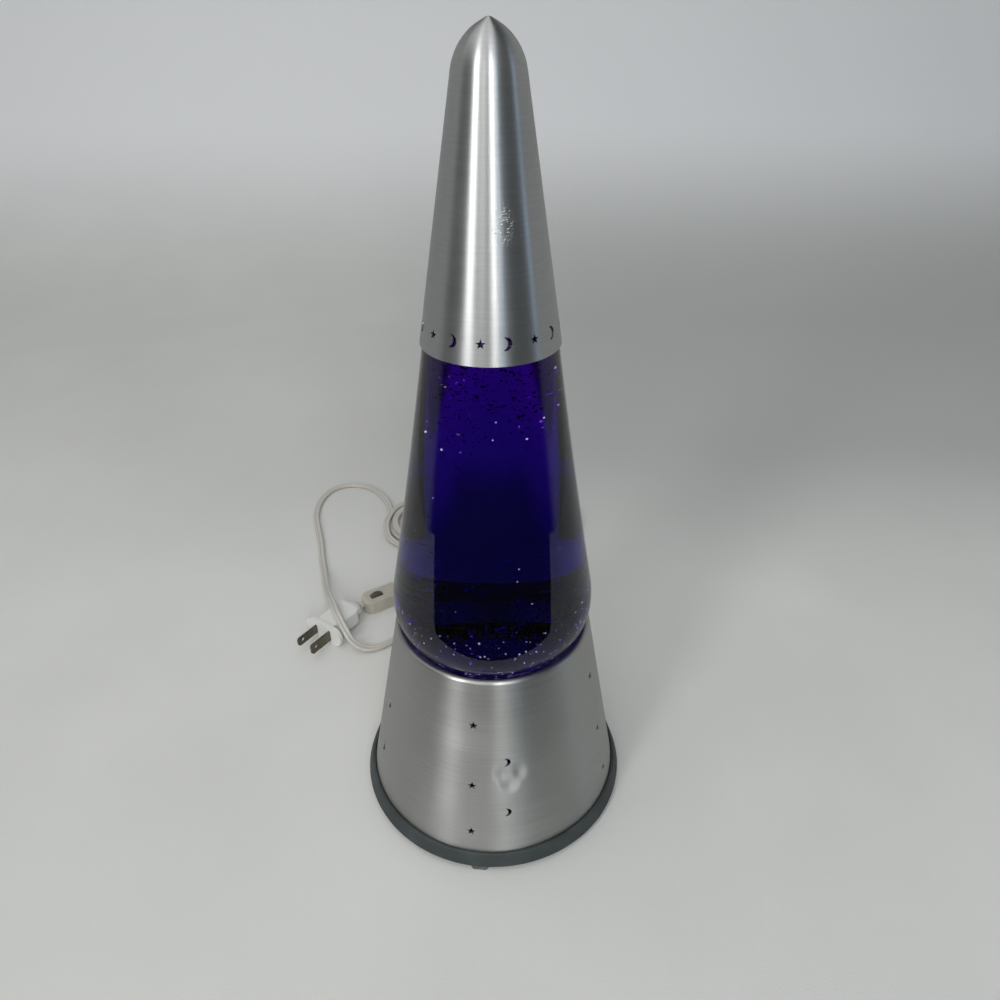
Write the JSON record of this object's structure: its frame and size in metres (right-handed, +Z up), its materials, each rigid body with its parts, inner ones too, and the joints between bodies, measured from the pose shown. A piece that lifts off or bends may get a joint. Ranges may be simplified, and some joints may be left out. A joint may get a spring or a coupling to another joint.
{
  "type": "liquid motion lamp",
  "caption": "Table lamp with a tapered globe of glitter liquid in a perforated spun aluminium base, under a matching cap, with a twin cord, thumbwheel switch and two-blade plug.",
  "frame": {"origin": "on the lamp's axis, at the floor under the three feet", "axes": "+Z up along the lamp's axis, -Y to the front of the picture, +X to its right"},
  "size_m": [0.2333, 0.3779, 0.3682],
  "materials": {
    "spun_aluminium": "spun and brushed round the axis",
    "ring_plastic": "satin moulding",
    "foot_rubber": "matt",
    "steel": "zinc plated",
    "brass": "bright",
    "porcelain": "glazed white porcelain",
    "bulb_metal": "rolled thread",
    "bulb_seal": "black glass with a solder point",
    "bulb_glass": "clear",
    "filament": "dull",
    "globe_glass": "clear and glossy",
    "liquid": "dyed violet liquid",
    "glitter": "bright flakes",
    "liner": "soft",
    "cord": "clear jacket over copper strands",
    "tie": "plain band",
    "switch_clear": "clear and yellowed",
    "wheel": "knurled",
    "plug": "moulded",
    "blades": "nickel on brass"
  },
  "bodies": {
    "base": {"foot_pads": "foot_rubber", "foot_ring": "ring_plastic", "base_shell": "spun_aluminium", "holder_strap": "steel", "strap_screws": "steel", "stem_tube": "brass", "stem_nut": "steel", "lamp_holder": "porcelain", "screw_shell": "brass", "centre_contact": "brass", "inner_cord": "cord", "cord_boot": "cord", "cord_lead": "cord", "cord_hank": "cord", "hank_tie": "tie", "cord_tail": "cord", "switch_bottom": "switch_clear", "switch_top": "switch_clear", "switch_screws": "steel", "cord_pigtail": "cord", "plug_body": "plug", "plug_blades": "blades"},
    "bulb": {"bulb_cap": "bulb_metal", "bulb_contact": "bulb_seal", "bulb_glass": "bulb_glass", "bulb_mount": "bulb_glass", "bulb_filament": "filament"},
    "globe": {"globe_glass": "globe_glass", "globe_liquid": "liquid", "glitter_flakes": "glitter", "crown_liner": "liner", "crown_closure": "steel"},
    "cap": {"globe_cap": "spun_aluminium"},
    "wheel": {"thumbwheel": "wheel", "wheel_axle": "steel"}
  },
  "joints": [
    {"name": "bulb_turn", "type": "hinge", "parent": "base", "child": "bulb", "pos_m": [0, 0, 0.04], "axis": [0, 0, 1], "continuous": true},
    {"name": "globe_lift", "type": "slide", "parent": "base", "child": "globe", "axis": [0, 0, 1], "range_m": [0, 0.12]},
    {"name": "cap_lift", "type": "slide", "parent": "globe", "child": "cap", "axis": [0, 0, 1], "range_m": [0, 0.12]},
    {"name": "wheel_turn", "type": "hinge", "parent": "base", "child": "wheel", "pos_m": [-0.08539, 0.13488, 0.0066], "axis": [-0.5299, 0.848, 0], "continuous": true}
  ]
}
